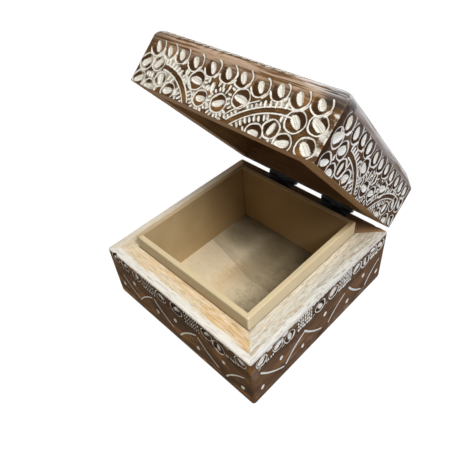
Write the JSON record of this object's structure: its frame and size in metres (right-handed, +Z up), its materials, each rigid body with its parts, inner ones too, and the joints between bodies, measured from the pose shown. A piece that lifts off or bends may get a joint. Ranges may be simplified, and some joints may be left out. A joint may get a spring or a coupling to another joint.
{
  "type": "carved wooden box",
  "caption": "Square keepsake box of carved, white-filled brown wood with a hinged lid on black butt hinges and a fibreboard liner that stands above the rim as a lip.",
  "frame": {"origin": "middle of the underside", "axes": "+X to the right, +Y to the back where the hinges are, +Z up"},
  "size_m": [0.102, 0.1212, 0.1305],
  "materials": {
    "carved_wood": "brown stain, white filling in the carving, satin",
    "floor_wood": "bare and pale inside, brown stain outside",
    "liner_board": "bare fibreboard",
    "hinge_metal": "black, satin"
  },
  "bodies": {
    "base": {"floor_board": "floor_wood", "base_front_wall": "carved_wood", "base_back_wall": "carved_wood", "base_left_wall": "carved_wood", "base_right_wall": "carved_wood", "liner_front": "liner_board", "liner_back": "liner_board", "liner_left": "liner_board", "liner_right": "liner_board", "hinge_left_base_leaf": "hinge_metal", "hinge_right_base_leaf": "hinge_metal", "hinge_left_pin": "hinge_metal", "hinge_right_pin": "hinge_metal", "base_leaf_screws": "hinge_metal"},
    "lid": {"lid_top_board": "carved_wood", "lid_front_wall": "carved_wood", "lid_back_wall": "carved_wood", "lid_left_wall": "carved_wood", "lid_right_wall": "carved_wood", "hinge_left_lid_leaf": "hinge_metal", "hinge_right_lid_leaf": "hinge_metal", "lid_leaf_screws": "hinge_metal"}
  },
  "joints": [
    {"name": "lid_hinge", "type": "hinge", "parent": "base", "child": "lid", "pos_m": [0, 0.0529, 0.0359], "axis": [-1, 0, 0], "range_deg": [-49.5, 130.5]}
  ]
}
